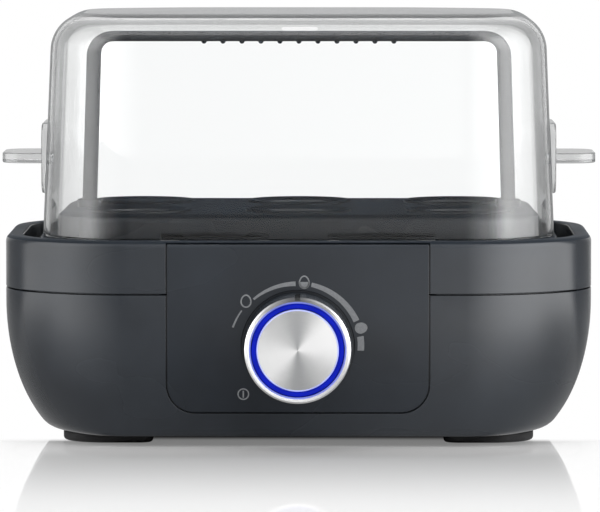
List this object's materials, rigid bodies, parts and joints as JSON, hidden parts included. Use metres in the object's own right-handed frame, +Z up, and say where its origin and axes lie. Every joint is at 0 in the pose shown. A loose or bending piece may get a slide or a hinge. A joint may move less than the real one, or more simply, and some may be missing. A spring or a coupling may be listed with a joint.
{
  "type": "electric egg cooker",
  "caption": "Electric egg cooker: dark rounded base with a lit round knob, an egg tray with a carrying bow, and a clear lift-off lid with side handles.",
  "frame": {"origin": "centre of the footprint's bounding box, on the worktop under the feet", "axes": "+X to the right along the long side, +Y to the back, +Z up; the knob is on the -Y side"},
  "size_m": [0.2056, 0.1534, 0.147],
  "materials": {
    "dark_plastic": "dark grey satin plastic",
    "panel_plastic": "dark grey smooth plastic",
    "black_plastic": "black plastic",
    "rubber": "matt black rubber",
    "silicone": "grey silicone",
    "steel": "plain steel",
    "aluminium": "spun aluminium",
    "clear_plastic": "clear moulded plastic",
    "blue_light": "blue lit light guide",
    "board": "green circuit board",
    "component": "dark component cases",
    "ceramic": "off-white ceramic"
  },
  "bodies": {
    "base": {"lower_housing": "dark_plastic", "rim_collar": "dark_plastic", "front_panel": "panel_plastic", "bottom_cover": "black_plastic", "cord_clamp": "black_plastic", "foot_front_left": "rubber", "foot_front_right": "rubber", "foot_rear_left": "rubber", "foot_rear_right": "rubber", "cord_gland": "rubber", "pan_gasket": "silicone", "boiling_pan": "steel", "pan_retainer": "steel", "heating_element": "steel", "element_clamp_1": "steel", "element_clamp_2": "steel", "stud_nut_1": "steel", "stud_nut_2": "steel", "shaft_nut": "steel", "cover_screw_1": "steel", "cover_screw_2": "steel", "cover_screw_3": "steel", "cover_screw_4": "steel", "retainer_screw_1": "steel", "retainer_screw_2": "steel", "retainer_screw_3": "steel", "retainer_screw_4": "steel", "board_screw_1": "steel", "board_screw_2": "steel", "board_screw_3": "steel", "board_screw_4": "steel", "clamp_screw_1": "steel", "clamp_screw_2": "steel", "spreader_plate": "aluminium", "light_board": "board", "control_board": "board", "thermostat": "component", "rotary_control": "component", "buzzer": "component", "relay": "component", "capacitor": "component", "thermal_fuse": "ceramic", "terminal_block": "ceramic"},
    "knob": {"knob_bezel": "aluminium", "light_ring": "blue_light", "knob_core": "black_plastic", "knob_face": "aluminium", "knob_shaft": "steel"},
    "tray": {"egg_tray": "dark_plastic", "carry_handle": "dark_plastic"},
    "lid": {"lid_shell": "clear_plastic", "lid_handle_right": "clear_plastic", "lid_handle_left": "clear_plastic"}
  },
  "joints": [
    {"name": "knob_turn", "type": "hinge", "parent": "base", "child": "knob", "pos_m": [0, -0.06345, 0.0344], "axis": [0, -1, 0], "range_deg": [-85, 130]},
    {"name": "tray_lift", "type": "slide", "parent": "base", "child": "tray", "axis": [0, 0, 1], "range_m": [0, 0.08]},
    {"name": "lid_lift", "type": "slide", "parent": "tray", "child": "lid", "axis": [0, 0, 1], "range_m": [0, 0.09]}
  ]
}
